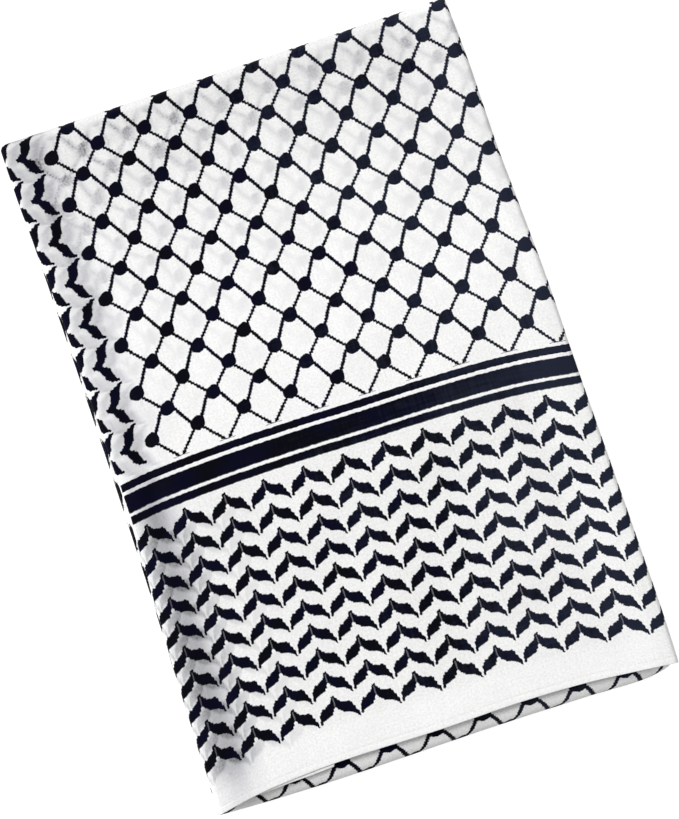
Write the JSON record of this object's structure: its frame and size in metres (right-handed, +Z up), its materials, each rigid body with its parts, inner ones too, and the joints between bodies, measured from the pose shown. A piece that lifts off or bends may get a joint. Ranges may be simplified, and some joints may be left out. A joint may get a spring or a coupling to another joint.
{
  "type": "keffiyeh headscarf",
  "caption": "Square woven cotton headscarf folded into a flat rectangular pile, with a net pattern, a striped band and rows of leaves; lies flat as a wrap to display, stack or hand over.",
  "frame": {"origin": "centre of the folded pile's footprint, on the surface it lies on", "axes": "+Z up, +Y along the pile from the hemmed front edge to the back fold, +X to the right seen from the front edge"},
  "size_m": [0.3114, 0.4548, 0.0194],
  "materials": {
    "white_cotton": "matte woven cotton, white ground with navy-black woven floats",
    "hem_cotton": "matte white cotton, rolled and stitched",
    "hidden_cotton": "matte white cotton, seen only at the layered edges"
  },
  "bodies": {
    "root": {"outer_panel": "white_cotton", "end_hems": "hem_cotton", "folded_layers": "hidden_cotton"}
  },
  "joints": []
}
